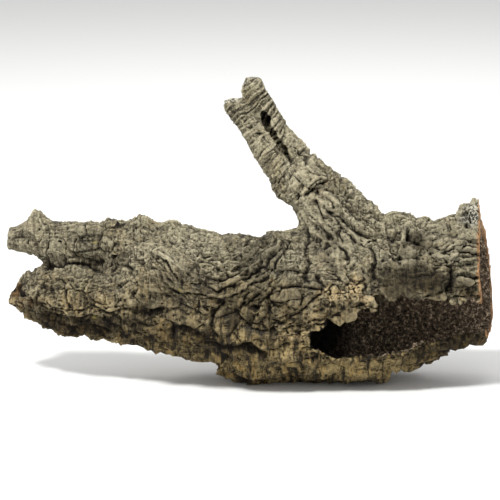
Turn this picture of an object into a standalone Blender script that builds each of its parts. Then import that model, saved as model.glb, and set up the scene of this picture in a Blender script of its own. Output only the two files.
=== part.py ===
"""Cork branch: the hollow bark of a cork oak limb, lying on its side.

The trunk is a bark tube, sawn square at its right end and torn open along its lower front.
On the left it divides into two forks, and near the right end one branch rises to a split tip.
The bark grew as one skin, so it is modelled as one and then parted at its three main forks.
X runs along the trunk, Y away from the viewer, Z up; the part stands on Z = 0.
"""

import math

import bmesh
import bpy
import numpy as np
from mathutils import Matrix, Vector

MM = 0.001

# Places and sizes are in millimetres until a mesh is written.
# Bark thickness where a limb is hollow.
TRUNK_WALL = 13.0
FORK_WALL = 9.0
BRANCH_WALL = 13.0
RING_SIDES = 40
RING_STEP = 6.0
# Fineness of the joined skin, before and after it gets its bark.
BLEND_VOXEL = 3.2
SKIN_VOXEL = 3.6
CROTCH_ROUNDS = 5
BARK_ROUNDS = 2
TRIANGLES = 8700
GAP = 0.3
# Loose bits smaller than this fall off.
CRUMB = 30.0
# The photograph looks down this many degrees.
VIEW_TILT = 12.0
# Bark plates, larger along a limb than round it, and the cracks between them.
PLATE_SIZE = np.array([52.0, 25.0, 25.0])
BEND_SIZE = 28.0
PLATE_BEND = 7.0
PLATE_STEP = 3.6
PLATE_CROWN = 2.0
PLATE_CRACK = 4.2
# Broad lumps, and shallow pits that reach the inside too.
LUMP_SIZE = np.array([62.0, 36.0, 36.0])
LUMP_HEIGHT = 2.6
PIT_SIZE = 18.0
PIT_HEIGHT = 1.1
# No crack is deeper than this.
DEEPEST = 7.5
# A limb thinner than this, in half its height, has lower bark in proportion.
FULL_GIRTH = 40.0
SKIN_REACH = 6.0
LEDGE_REACH = 9.0
CRACK_WIDTH = 3.2

# Each station of a limb is x, y, z of its centre, half its depth and half its height.
TRUNK = [
    (-122, 2, 96, 34, 46),
    (-105, 0, 96, 44, 60),
    (-84, 0, 95, 52, 65),
    (-60, 0, 89, 58, 64),
    (-36, 0, 84, 62, 65),
    (-12, 0, 82, 65, 64),
    (6, 0, 74, 67, 73),
    (20, 0, 73, 69, 75),
    (40, 0, 76, 70, 76),
    (70, 0, 77, 71, 76),
    (100, 0, 77, 71, 77),
    (130, 0, 80, 70, 78),
    (142, 0, 92, 69, 77),
    (160, 0, 93, 68, 74),
    (180, 0, 95, 66, 69),
    (200, 0, 99, 63, 65),
    (222, 0, 101, 60, 62),
    (262, 0, 101, 60, 61),
]
LOWER_FORK = [
    (-246, 29, 86, 11, 12),
    (-232, 26, 85, 15, 16),
    (-220, 24, 84, 21, 23),
    (-205, 21, 83, 27, 29),
    (-190, 17, 81, 32, 35),
    (-165, 13, 79, 34, 37),
    (-140, 8, 79, 36, 39),
    (-115, 3, 78, 40, 42),
    (-90, 0, 75, 46, 45),
    (-60, 0, 72, 50, 48),
]
UPPER_FORK = [
    (-256, 37, 137, 12, 12),
    (-242, 34, 138, 12, 12),
    (-230, 32, 138, 14, 15),
    (-216, 29, 138, 16, 18),
    (-202, 26, 137, 19, 21),
    (-175, 21, 136, 20, 22),
    (-150, 15, 136, 22, 22),
    (-125, 9, 137, 26, 24),
    (-100, 3, 132, 32, 28),
    (-70, 0, 122, 38, 32),
]
BRANCH = [
    (145, 0, 106, 46, 49),
    (122, 0, 118, 46, 48),
    (98, 2, 143, 40, 40),
    (78, 5, 171, 32, 32),
    (65, 8, 188, 27, 28),
    (41, 12, 211, 24, 26),
    (27, 16, 230, 22, 24),
    (14, 19, 248, 19, 22),
]
LEFT_TIP = [
    (20, 15, 234, 15, 15),
    (4, 19, 253, 13, 15),
    (-8, 22, 267, 12, 15),
    (-15, 24, 277, 10, 14),
    (-20, 25, 284, 8, 11),
]
RIGHT_TIP = [
    (34, 15, 236, 15, 14),
    (20, 20, 263, 13, 12),
    (9, 23, 283, 11, 10),
    (2, 25, 297, 9, 9),
    (0, 26, 303, 6, 6),
]
# The knob stands on the upper fork, the nub on the trunk's sawn end, and the lumps on the trunk's top.
KNOB = [(-210, 28, 138, 16, 26), (-211, 28, 150, 13, 20), (-212, 28, 161, 8, 11), (-212, 28, 172, 4, 4)]
NUB = [(217, 0, 150, 10, 10), (217, 0, 168, 12, 13), (217, 0, 175, 9, 9), (217, 0, 177, 5, 5)]
LEFT_LUMP = [(-109, 0, 140, 18, 19), (-109, 0, 156, 16, 17), (-109, 0, 165, 12, 12), (-109, 0, 170, 6, 6)]
RIGHT_LUMP = [(-76, 0, 145, 12, 12), (-76, 0, 156, 9, 9), (-76, 0, 163, 6, 6), (-76, 0, 165, 3, 3)]
# A swelling along the back of the underside, which the trunk rests on.
HEEL = [
    (-8, 24, 28, 18, 22),
    (6, 24, 22, 22, 24),
    (60, 22, 22, 22, 24),
    (110, 20, 22, 22, 24),
    (126, 18, 30, 18, 22),
]

# Lines on the front as the viewer sees them: x, and height over the floor line.
# A ledge is a plate that overhangs below its line: its lift, the depth of the gap under it, the line.
LEDGES = [
    (5, 7, [(-148, 64), (-130, 60), (-112, 58)]),
    (4, 6, [(-101, 72), (-85, 73)]),
    (5, 8, [(-75, 58), (-62, 58), (-46, 51), (-38, 46)]),
    (6, 9, [(-42, 41), (-29, 40), (-15, 40), (2, 40), (10, 34), (20, 27)]),
    (5, 5, [(-69, 90), (-40, 86), (-26, 83), (-13, 88), (9, 102), (29, 122), (38, 140)]),
    (4, 4, [(-64, 101), (-30, 91), (1, 107), (13, 117), (26, 131)]),
    (4, 4, [(-96, 128), (-81, 119), (-74, 107), (-66, 97)]),
    (5, 5, [(150, 152), (158, 140), (166, 137)]),
    (3, 4, [(198, 139), (230, 138)]),
    (3, 4, [(180, 130), (230, 129)]),
    (4, 5, [(51, 180), (58, 188), (65, 194), (78, 196)]),
]
CRACKS = [
    (7, [(-110, 108), (-112, 80), (-111, 56)]),
    (6, [(-75, 57), (-76, 39)]),
    (7, [(-33, 76), (-36, 65), (-37, 53), (-29, 42)]),
    (7, [(114, 138), (120, 121), (117, 110), (123, 97)]),
    (8, [(196, 121), (193, 101), (188, 83)]),
    (8, [(54, 154), (57, 136), (55, 121), (52, 104), (58, 96)]),
    (5, [(72, 171), (89, 159), (103, 147), (120, 143), (149, 143)]),
    (6, [(14, 58), (22, 50), (28, 46)]),
]
# The torn mouth as the viewer sees it, from its left point along the upper lip and back along the lower.
MOUTH = [
    (57, 44), (58, 50), (68, 56), (79, 62), (93, 68), (108, 72), (120, 73), (123, 78), (119, 83),
    (114, 87), (128, 87), (142, 84), (162, 82), (186, 82), (200, 79), (228, 82), (290, 84), (290, 52),
    (233, 50), (198, 43), (170, 38), (150, 31), (120, 25), (87, 26), (70, 28), (62, 33), (57, 38),
]
MOUTH_DEPTH = (-150, -14)
# The dark slit between the two tips, from its top down its right side and back up its left.
SLIT = [(11, 267), (18, 261), (26, 245), (37, 227), (43, 213), (38, 214), (26, 229), (16, 245), (10, 257)]
SLIT_DEPTH = (-75, -30)
# Under the right end the bark is broken away up to this line.
UNDERSIDE = [
    (136, -20), (136, 3), (139, 10), (150, 12), (165, 16), (179, 21), (190, 26), (199, 31), (215, 35),
    (231, 38), (238, 46), (243, 54), (270, 60), (270, -20),
]
UNDERSIDE_DEPTH = (-150, 150)
# A cut is a name, a point on its plane, the way the plane faces, and its cutter's size and depth.
CUTS = [
    ("right_saw", (234, 0, 98), (1, -0.19, 0.11), 400, 90),
    ("upper_saw", (-240, 34, 139), (-0.97, 0.2, 0.05), 60, 60),
    ("lower_break", (-232, 26, 90), (-0.75, -0.3, 0.5), 44, 24),
    ("left_tip_break", (-22, 24, 278), (-0.1, 0, 1), 32, 20),
    ("floor", (0, 0, 0), (0, 0, -1), 800, 90),
]
# The branch is parted from the trunk across this plane.
BRANCH_CUT, BRANCH_NORMAL, BRANCH_SHEET = (56, 9, 189), (-0.46, 0.15, 0.89), 110
# The forks are parted from the trunk at FORK_X, and from each other at FORK_HEIGHT.
FORK_X = -127.0
FORK_HEIGHT = 116.5
FORK_LENGTH = 160
FORK_SPAN = (-90, 110)
FORK_RISE = (-20, 220)
COLOURS = {
    "trunk": (0.24, 0.2, 0.14),
    "upper_fork": (0.3, 0.27, 0.2),
    "lower_fork": (0.26, 0.22, 0.16),
    "upright_branch": (0.29, 0.27, 0.2),
}
CORK_ROUGHNESS = 0.93


def clear_scene():
    for thing in list(bpy.data.objects):
        bpy.data.objects.remove(thing, do_unlink=True)


def new_object(name, mesh, collection):
    thing = bpy.data.objects.new(name, mesh)
    collection.objects.link(thing)
    return thing


def along(stations):
    """The stations joined by a smooth curve, with one row every RING_STEP."""
    rows = np.array(stations, float)
    ends = np.vstack([2 * rows[0] - rows[1], rows, 2 * rows[-1] - rows[-2]])
    found = []
    for i in range(1, len(ends) - 2):
        before, start, end, after = ends[i - 1 : i + 3]
        count = max(1, round(np.linalg.norm((end - start)[:3]) / RING_STEP))
        for step in range(count):
            t = step / count
            found.append(
                0.5
                * (
                    2 * start
                    + (end - before) * t
                    + (2 * before - 5 * start + 4 * end - after) * t**2
                    + (3 * start - before - 3 * end + after) * t**3
                )
            )
    found.append(rows[-1])
    return np.array(found)


def frames(rows):
    """Unit vectors at each row: along the limb, across it (away from the viewer), and up."""
    ahead = np.gradient(rows[:, :3], axis=0)
    ahead /= np.linalg.norm(ahead, axis=1)[:, None]
    across = np.array([0.0, 1.0, 0.0]) - ahead * ahead[:, 1:2]
    across /= np.linalg.norm(across, axis=1)[:, None]
    return ahead, across, np.cross(ahead, across)


def loft(name, stations, collection, shrink=0.0):
    """A closed tube through elliptical rings, drawn in by shrink but no further than halfway."""
    rows = along(stations)
    _, across, up = frames(rows)
    mesh = bmesh.new()
    rings = []
    for row, side, top in zip(rows, across, up):
        ring = []
        for k in range(RING_SIDES):
            angle = 2 * math.pi * k / RING_SIDES
            place = (
                row[:3]
                - side * max(row[3] - shrink, row[3] / 2) * math.cos(angle)
                + top * max(row[4] - shrink, row[4] / 2) * math.sin(angle)
            )
            ring.append(mesh.verts.new(place * MM))
        rings.append(ring)
    for one, two in zip(rings, rings[1:]):
        for k in range(RING_SIDES):
            n = (k + 1) % RING_SIDES
            mesh.faces.new((one[k], one[n], two[n], two[k]))
    mesh.faces.new(rings[0][::-1])
    mesh.faces.new(rings[-1])
    bmesh.ops.recalc_face_normals(mesh, faces=mesh.faces)
    data = bpy.data.meshes.new(name)
    mesh.to_mesh(data)
    mesh.free()
    return new_object(name, data, collection)


def noise_grid(cells, seed):
    """One repeatable number from 0 to 1 for each whole-number cell."""
    x, y, z = (cells[..., i].astype(np.int64).astype(np.uint32) for i in range(3))
    mixed = x * np.uint32(0x8DA6B343) ^ y * np.uint32(0xD8163841) ^ z * np.uint32(0xCB1AB31F)
    mixed ^= np.uint32(seed * 0x9E3779B1 % 2**32)
    for shift, factor in ((15, 0x2C1B3C6D), (12, 0x297A2D39)):
        mixed ^= mixed >> np.uint32(shift)
        mixed *= np.uint32(factor)
    mixed ^= mixed >> np.uint32(15)
    return mixed / 2.0**32


def soft_noise(points, seed):
    """Smooth noise from -1 to 1, with lumps about one unit across."""
    cell = np.floor(points)
    inside = points - cell
    fade = inside**3 * (inside * (inside * 6 - 15) + 10)
    total = 0.0
    for corner in range(8):
        step = np.array([corner & 1, corner >> 1 & 1, corner >> 2 & 1])
        weight = np.prod(np.where(step, fade, 1 - fade), axis=1)
        total = total + weight * noise_grid(cell + step, seed)
    return 2 * total - 1


def rough_noise(points, seed, octaves):
    """Noise with finer and finer lumps laid over each other."""
    total, size = 0.0, 1.0
    for octave in range(octaves):
        total = total + size * soft_noise(points * 2.03**octave + 7.7 * octave, seed + octave)
        size *= 0.5
    return total


def plates(points, seed):
    """How far each point is inside its plate, 0 on a crack, and a number from 0 to 1 for the plate."""
    cell = np.floor(points)
    nearest = np.full(len(points), 9.0)
    second = np.full(len(points), 9.0)
    mark = np.zeros(len(points))
    for number in range(27):
        around = cell + np.array([number % 3, number // 3 % 3, number // 9]) - 1
        seat = np.stack([noise_grid(around, seed + axis) for axis in range(3)], axis=1)
        distance = np.linalg.norm(around + 0.15 + 0.7 * seat - points, axis=1)
        closer = distance < nearest
        second = np.where(closer, nearest, np.minimum(second, distance))
        mark = np.where(closer, seat[:, 0], mark)
        nearest = np.where(closer, distance, nearest)
    return second - nearest, mark


def ease(value, low, high):
    """0 below low, 1 above high, and a smooth slope between them."""
    share = np.clip((value - low) / (high - low), 0, 1)
    return share * share * (3 - 2 * share)


def limb_place(points, stations):
    """Each point's place in the bark unrolled round a limb, and its height over that bark."""
    rows = along(stations)
    ahead, across, up = frames(rows)
    steps = np.linalg.norm(np.diff(rows[:, :3], axis=0), axis=1)
    length = np.concatenate([[0], np.cumsum(steps)])
    away = np.full(len(points), 1e9)
    index = np.zeros(len(points), int)
    for k, row in enumerate(rows):
        distance = ((points - row[:3]) ** 2).sum(axis=1)
        index = np.where(distance < away, k, index)
        away = np.minimum(away, distance)
    offset = points - rows[index, :3]
    front = -(offset * across[index]).sum(axis=1) / rows[index, 3]
    top = (offset * up[index]).sum(axis=1) / rows[index, 4]
    share = np.maximum(np.hypot(front, top), 1e-6)
    middle = (rows[index, 3] + rows[index, 4]) / 2
    run = length[index] + (offset * ahead[index]).sum(axis=1)
    spot = np.stack([run, middle * front / share, middle * top / share], axis=1)
    over = (share - 1) * middle
    past_end = np.maximum(-run, run - length[-1])
    return spot, np.where(past_end > 0, np.hypot(np.maximum(over, 0), past_end), over)


def seen_from_front(points):
    """Each point's place across and up a plane square to the line of sight."""
    tilt = math.radians(VIEW_TILT)
    return points[:, 0], points[:, 1] * math.sin(tilt) + points[:, 2] * math.cos(tilt)


def line_distance(across, up, line):
    """Distance from a bent line on that plane, positive above a line drawn left to right."""
    best = np.full(len(across), 1e9)
    side = np.ones(len(across))
    for (x0, z0), (x1, z1) in zip(line, line[1:]):
        run, rise = x1 - x0, z1 - z0
        share = np.clip(((across - x0) * run + (up - z0) * rise) / (run * run + rise * rise), 0, 1)
        distance = np.hypot(across - x0 - share * run, up - z0 - share * rise)
        above = np.sign(run * (up - z0) - rise * (across - x0))
        side = np.where(distance < best, above, side)
        best = np.minimum(best, distance)
    return best * side


def front_relief(points, facing):
    """The ledges and cracks that stand out on the front, in millimetres."""
    across, up = seen_from_front(points)
    height = np.zeros(len(points))
    for lift, drop, line in LEDGES:
        distance = line_distance(across, up, line)
        above = lift * np.exp(-np.maximum(distance, 0) / LEDGE_REACH)
        below = -drop * np.exp(-((distance / CRACK_WIDTH) ** 2))
        height += np.where(distance > 0, above, below) * np.exp(-((distance / (3 * LEDGE_REACH)) ** 2))
    for drop, line in CRACKS:
        distance = line_distance(across, up, line)
        height -= drop * np.exp(-((distance / CRACK_WIDTH) ** 2))
    return height * ease(-facing[:, 1], 0.0, 0.35)


def limb_bark(spot, seed):
    """Bark height on one unrolled limb: long plates at different heights, with cracks between."""
    bend = np.stack([soft_noise(spot / BEND_SIZE, seed + 20 + axis) for axis in range(3)], axis=1)
    edge, mark = plates((spot + PLATE_BEND * bend) / PLATE_SIZE, seed)
    lumps = rough_noise(spot / LUMP_SIZE, seed + 5, 2)
    crown = ease(edge, 0.0, 0.4)
    crack = 1 - ease(edge, 0.0, 0.2)
    return LUMP_HEIGHT * lumps + PLATE_STEP * (mark - 0.5) + PLATE_CROWN * crown - PLATE_CRACK * crack


def bark_height(points, facing):
    """How far the bark stands out from the smooth skin at each point, in millimetres."""
    total, weights = 0.0, 1e-9
    for seed, stations in enumerate((TRUNK, LOWER_FORK, UPPER_FORK, BRANCH, LEFT_TIP, RIGHT_TIP)):
        spot, over = limb_place(points, stations)
        weight = np.exp(-((over / SKIN_REACH) ** 2))
        girth = min(1.0, max(row[4] for row in stations) / FULL_GIRTH)
        total = total + weight * girth * limb_bark(spot, 40 * seed)
        weights = weights + weight
    outside = np.minimum(weights * 1.6, 1)
    pits = rough_noise(points / PIT_SIZE, 3, 2)
    relief = outside * (total / weights + front_relief(points, facing))
    return np.maximum(relief, -DEEPEST) + PIT_HEIGHT * pits


def evaluated(thing, name):
    """The object's mesh with its modifiers applied, in a new mesh."""
    bpy.context.view_layer.update()
    graph = bpy.context.evaluated_depsgraph_get()
    mesh = bpy.data.meshes.new_from_object(thing.evaluated_get(graph))
    mesh.name = name
    return mesh


def apply_modifiers(thing):
    mesh = evaluated(thing, thing.name)
    thing.modifiers.clear()
    thing.data = mesh


def remesh(thing, voxel):
    """Joins what overlaps in one even skin."""
    modifier = thing.modifiers.new("Even skin", "REMESH")
    modifier.mode = "VOXEL"
    modifier.voxel_size = voxel * MM
    apply_modifiers(thing)


def soften(thing, rounds):
    modifier = thing.modifiers.new("Soft", "SMOOTH")
    modifier.factor = 0.5
    modifier.iterations = rounds
    apply_modifiers(thing)


def combine(thing, other, operation):
    modifier = thing.modifiers.new(operation.title(), "BOOLEAN")
    modifier.operation = operation
    modifier.solver = "EXACT"
    modifier.object = other
    apply_modifiers(thing)


def joined(name, things, collection):
    """One object that holds the meshes of several."""
    mesh = bmesh.new()
    for thing in things:
        mesh.from_mesh(thing.data)
        bpy.data.objects.remove(thing, do_unlink=True)
    data = bpy.data.meshes.new(name)
    mesh.to_mesh(data)
    mesh.free()
    return new_object(name, data, collection)


def box(name, low, high, collection):
    mesh = bmesh.new()
    bmesh.ops.create_cube(mesh, size=1.0)
    low, high = np.array(low, float) * MM, np.array(high, float) * MM
    for vertex in mesh.verts:
        vertex.co = (np.array(vertex.co) + 0.5) * (high - low) + low
    data = bpy.data.meshes.new(name)
    mesh.to_mesh(data)
    mesh.free()
    return new_object(name, data, collection)


def smooth_skin(collection):
    """The outside of every limb in one skin, with rounded crotches."""
    limbs = {
        "trunk_form": TRUNK,
        "lower_form": LOWER_FORK,
        "upper_form": UPPER_FORK,
        "branch_form": BRANCH,
        "left_tip_form": LEFT_TIP,
        "right_tip_form": RIGHT_TIP,
        "knob_form": KNOB,
        "nub_form": NUB,
        "left_lump_form": LEFT_LUMP,
        "right_lump_form": RIGHT_LUMP,
        "heel_form": HEEL,
    }
    skin = joined("skin", [loft(name, rows, collection) for name, rows in limbs.items()], collection)
    remesh(skin, BLEND_VOXEL)
    soften(skin, CROTCH_ROUNDS)
    return skin


def bores(cutters):
    """The hollow of the trunk and of each limb that opens into it."""
    tubes = [
        loft("trunk_bore", TRUNK[1:], cutters, TRUNK_WALL),
        loft("lower_bore", LOWER_FORK, cutters, FORK_WALL),
        loft("upper_bore", UPPER_FORK, cutters, FORK_WALL),
        loft("branch_bore", BRANCH, cutters, BRANCH_WALL),
    ]
    bore = joined("bores", tubes, cutters)
    remesh(bore, BLEND_VOXEL)
    return bore


def front_cutter(name, outline, depth, cutters):
    """A closed solid behind an outline that the viewer sees, from the first depth to the second."""
    tilt = math.radians(VIEW_TILT)
    up = np.array([0, math.sin(tilt), math.cos(tilt)])
    away = np.array([0, math.cos(tilt), -math.sin(tilt)])
    mesh = bmesh.new()
    near, far = (
        [mesh.verts.new((up * height + away * reach + (x, 0, 0)) * MM) for x, height in outline]
        for reach in depth
    )
    for k in range(len(outline)):
        n = (k + 1) % len(outline)
        mesh.faces.new((near[k], near[n], far[n], far[k]))
    ends = [mesh.faces.new(near[::-1]), mesh.faces.new(far)]
    bmesh.ops.triangulate(mesh, faces=ends)
    bmesh.ops.recalc_face_normals(mesh, faces=mesh.faces)
    data = bpy.data.meshes.new(name)
    mesh.to_mesh(data)
    mesh.free()
    return new_object(name, data, cutters)


def displaced(thing):
    mesh = thing.data
    count = len(mesh.vertices)
    places, facing = np.empty(count * 3, np.float32), np.empty(count * 3, np.float32)
    mesh.vertices.foreach_get("co", places)
    mesh.vertices.foreach_get("normal", facing)
    places, facing = places.reshape(-1, 3).astype(float) / MM, facing.reshape(-1, 3).astype(float)
    places += facing * bark_height(places, facing)[:, None]
    mesh.vertices.foreach_set("co", (places * MM).astype(np.float32).ravel())
    mesh.update()


def reduce_to(thing, triangles):
    modifier = thing.modifiers.new("Fewer faces", "DECIMATE")
    modifier.ratio = triangles / (2 * len(thing.data.polygons))
    modifier.use_collapse_triangulate = True
    apply_modifiers(thing)


def slab(name, centre, normal, size, cutters):
    """A square block one millimetre thick whose middle lies on a plane through centre."""
    half = size / 2
    cutter = box(name, (-half, -half, -0.5), (half, half, 0.5), cutters)
    cutter.rotation_mode = "QUATERNION"
    cutter.rotation_quaternion = Vector(normal).to_track_quat("Z", "Y")
    cutter.location = Vector(centre) * MM
    return cutter


def trimmed(skin, cutters):
    """Saws the ends and flattens what the part stands on."""
    for name, place, normal, size, depth in CUTS:
        cutter = slab(name, place, normal, size, cutters)
        cutter.scale.z = depth
        cutter.location += Vector(normal).normalized() * depth / 2 * MM
        combine(skin, cutter, "DIFFERENCE")


def parted(skin, collection, cutters):
    """The skin parted at its forks, with one object for each piece."""
    (near, far), (bottom, top) = FORK_SPAN, FORK_RISE
    branch_sheet = slab("branch_parting", BRANCH_CUT, BRANCH_NORMAL, BRANCH_SHEET, cutters)
    branch_sheet.scale.z = GAP
    level = [(FORK_X - FORK_LENGTH, near, FORK_HEIGHT - GAP), (FORK_X, far, FORK_HEIGHT + GAP)]
    upright = [(FORK_X, near, bottom), (FORK_X + GAP, far, top)]
    partings = [
        branch_sheet,
        box("fork_parting", *level, cutters),
        box("fork_end", *upright, cutters),
    ]
    for parting in partings:
        combine(skin, parting, "DIFFERENCE")
    bpy.context.view_layer.objects.active = skin
    skin.select_set(True)
    bpy.ops.mesh.separate(type="LOOSE")
    pieces = []
    for piece in list(collection.objects):
        if max(piece.dimensions) < CRUMB * MM:
            bpy.data.objects.remove(piece, do_unlink=True)
            continue
        piece.name = piece_name(sum((Vector(corner) for corner in piece.bound_box), Vector()) / 8 / MM)
        piece.data.name = piece.name
        pieces.append(piece)
    return pieces


def piece_name(middle):
    if middle.z > BRANCH_CUT[2]:
        return "upright_branch"
    if middle.x > FORK_X:
        return "trunk"
    return "upper_fork" if middle.z > FORK_HEIGHT else "lower_fork"


def centred(pieces):
    """Moves the pieces together so that the middle of their footprint is the origin."""
    corners = np.array([corner for piece in pieces for corner in piece.bound_box])
    middle = (corners.min(axis=0) + corners.max(axis=0)) / 2
    for piece in pieces:
        piece.data.transform(Matrix.Translation((-middle[0], -middle[1], 0)))


def cork(name, colour, roughness):
    material = bpy.data.materials.new(name)
    material.use_nodes = True
    shader = material.node_tree.nodes["Principled BSDF"]
    shader.inputs["Base Color"].default_value = (*colour, 1)
    shader.inputs["Roughness"].default_value = roughness
    shader.inputs["Metallic"].default_value = 0
    return material


def main():
    clear_scene()
    branch = bpy.data.collections.new("cork_branch")
    cutters = bpy.data.collections.new("cutters")
    for collection in (branch, cutters):
        bpy.context.scene.collection.children.link(collection)
    cutters.hide_render = True
    skin = smooth_skin(branch)
    combine(skin, bores(cutters), "DIFFERENCE")
    remesh(skin, BLEND_VOXEL)
    combine(skin, front_cutter("mouth", MOUTH, MOUTH_DEPTH, cutters), "DIFFERENCE")
    combine(skin, front_cutter("slit", SLIT, SLIT_DEPTH, cutters), "DIFFERENCE")
    combine(skin, front_cutter("underside", UNDERSIDE, UNDERSIDE_DEPTH, cutters), "DIFFERENCE")
    remesh(skin, SKIN_VOXEL)
    displaced(skin)
    remesh(skin, SKIN_VOXEL)
    soften(skin, BARK_ROUNDS)
    reduce_to(skin, TRIANGLES)
    trimmed(skin, cutters)
    pieces = parted(skin, branch, cutters)
    centred(pieces)
    for piece in pieces:
        piece.data.materials.append(cork(piece.name + "_cork", COLOURS[piece.name], CORK_ROUGHNESS))
    for cutter in cutters.objects:
        cutter.hide_render = True
        cutter.display_type = "WIRE"


main()
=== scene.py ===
import math

import bmesh
import bpy
import numpy as np
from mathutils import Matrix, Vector
from mathutils.kdtree import KDTree


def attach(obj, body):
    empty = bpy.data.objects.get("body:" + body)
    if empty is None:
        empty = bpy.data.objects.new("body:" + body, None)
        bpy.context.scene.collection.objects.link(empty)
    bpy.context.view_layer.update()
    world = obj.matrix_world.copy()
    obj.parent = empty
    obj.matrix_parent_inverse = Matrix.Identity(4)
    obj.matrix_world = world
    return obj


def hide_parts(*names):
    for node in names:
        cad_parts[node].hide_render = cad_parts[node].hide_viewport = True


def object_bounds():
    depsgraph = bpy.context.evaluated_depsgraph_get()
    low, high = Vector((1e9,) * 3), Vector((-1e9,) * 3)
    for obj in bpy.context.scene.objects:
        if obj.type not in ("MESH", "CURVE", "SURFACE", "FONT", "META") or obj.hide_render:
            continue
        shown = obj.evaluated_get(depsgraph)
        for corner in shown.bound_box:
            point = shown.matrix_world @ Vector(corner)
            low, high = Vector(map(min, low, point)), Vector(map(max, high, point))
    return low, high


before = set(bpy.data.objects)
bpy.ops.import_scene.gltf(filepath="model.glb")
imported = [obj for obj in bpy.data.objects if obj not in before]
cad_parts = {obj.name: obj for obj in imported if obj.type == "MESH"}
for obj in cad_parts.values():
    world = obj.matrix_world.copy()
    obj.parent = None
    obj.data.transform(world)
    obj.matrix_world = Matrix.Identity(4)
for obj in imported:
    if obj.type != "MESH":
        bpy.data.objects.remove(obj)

CAD_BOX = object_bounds()
MM = 0.001
# How far the form below is moved to stand where the frame has it.
SHIFT = np.array([-1.986, 0.73, 0.0])

TRUNK_WALL = 13.0
FORK_WALL = 9.0
BRANCH_WALL = 13.0
RING_SIDES = 40
RING_STEP = 6.0
BLEND_VOXEL = 3.2
CROTCH_ROUNDS = 5
FINE_VOXEL = 1.05
MOST_TRIANGLES = 190000
# How readily a seen part gives up triangles, against a hidden part.
SEEN_SHARE = 0.3
# Rounds of averaging that tell fine hollows and broad ones.
FINE_ROUNDS = 5
BROAD_ROUNDS = 45
VIEW_TILT = 12.0

# Broad relief, the same as the solids have.
PLATE_SIZE = np.array([52.0, 25.0, 25.0])
BEND_SIZE = 28.0
PLATE_BEND = 7.0
PLATE_STEP = 3.6
PLATE_CROWN = 2.0
PLATE_CRACK = 4.2
LUMP_SIZE = np.array([62.0, 36.0, 36.0])
LUMP_HEIGHT = 2.6
PIT_SIZE = 18.0
PIT_HEIGHT = 1.1
DEEPEST = 7.5
FULL_GIRTH = 40.0
SKIN_REACH = 6.0
LUMP_REACH = 22.0
LEDGE_REACH = 9.0
CRACK_WIDTH = 2.7
# Half width of the dent and the painted shadow under a ledge that drops 4 mm. A deeper one is wider.
GAP_WIDTH = 2.3
# Drawn lines fade over this length at their ends.
FADE = 9.0

# Each station of a limb is x, y, z of its centre, half its depth and half its height.
TRUNK = [
    (-122, 2, 96, 34, 46), (-105, 0, 96, 44, 60), (-84, 0, 95, 52, 65), (-60, 0, 89, 58, 64),
    (-36, 0, 84, 62, 65), (-12, 0, 82, 65, 64), (6, 0, 74, 67, 73), (20, 0, 73, 69, 75),
    (40, 0, 76, 70, 76), (70, 0, 77, 71, 76), (100, 0, 77, 71, 77), (130, 0, 80, 70, 78),
    (142, 0, 92, 69, 77), (160, 0, 93, 68, 74), (180, 0, 95, 66, 69), (200, 0, 99, 63, 65),
    (222, 0, 101, 60, 62), (262, 0, 101, 60, 61),
]
LOWER_FORK = [
    (-246, 29, 86, 11, 12), (-232, 26, 85, 15, 16), (-220, 24, 84, 21, 23), (-205, 21, 83, 27, 29),
    (-190, 17, 81, 32, 35), (-165, 13, 79, 34, 37), (-140, 8, 79, 36, 39), (-115, 3, 78, 40, 42),
    (-90, 0, 75, 46, 45), (-60, 0, 72, 50, 48),
]
UPPER_FORK = [
    (-256, 37, 137, 12, 12), (-242, 34, 138, 12, 12), (-230, 32, 138, 14, 15), (-216, 29, 138, 16, 18),
    (-202, 26, 137, 19, 21), (-175, 21, 136, 20, 22), (-150, 15, 136, 22, 22), (-125, 9, 137, 26, 24),
    (-100, 3, 132, 32, 28), (-70, 0, 122, 38, 32),
]
BRANCH = [
    (145, 0, 106, 46, 49), (122, 0, 118, 46, 48), (98, 2, 143, 40, 40), (78, 5, 171, 32, 32),
    (65, 8, 188, 27, 28), (41, 12, 211, 24, 26), (27, 16, 230, 22, 24), (14, 19, 248, 19, 22),
]
LEFT_TIP = [
    (20, 15, 234, 15, 15), (4, 19, 253, 13, 15), (-8, 22, 267, 12, 15), (-15, 24, 277, 10, 14),
    (-20, 25, 284, 8, 11),
]
RIGHT_TIP = [
    (34, 15, 236, 15, 14), (20, 20, 263, 13, 12), (9, 23, 283, 11, 10), (2, 25, 297, 9, 9),
    (0, 26, 303, 6, 6),
]
KNOB = [(-210, 28, 138, 16, 26), (-211, 28, 150, 13, 20), (-212, 28, 161, 8, 11), (-212, 28, 172, 4, 4)]
NUB = [(217, 0, 150, 11, 11), (218, 2, 168, 13, 14), (218, 2, 176, 12, 12), (218, 2, 179, 8, 8)]
LEFT_LUMP = [(-109, 0, 140, 18, 19), (-109, 0, 156, 16, 17), (-109, 0, 165, 12, 12), (-109, 0, 170, 6, 6)]
RIGHT_LUMP = [(-76, 0, 145, 12, 12), (-76, 0, 156, 9, 9), (-76, 0, 163, 6, 6), (-76, 0, 165, 3, 3)]
HEEL = [
    (-8, 24, 28, 18, 22), (6, 24, 22, 22, 24), (60, 22, 22, 22, 24), (110, 20, 22, 22, 24),
    (126, 18, 30, 18, 22),
]
LIMBS = [TRUNK, LOWER_FORK, UPPER_FORK, BRANCH, LEFT_TIP, RIGHT_TIP]
FORMS = [*LIMBS, KNOB, NUB, LEFT_LUMP, RIGHT_LUMP, HEEL]

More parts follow.
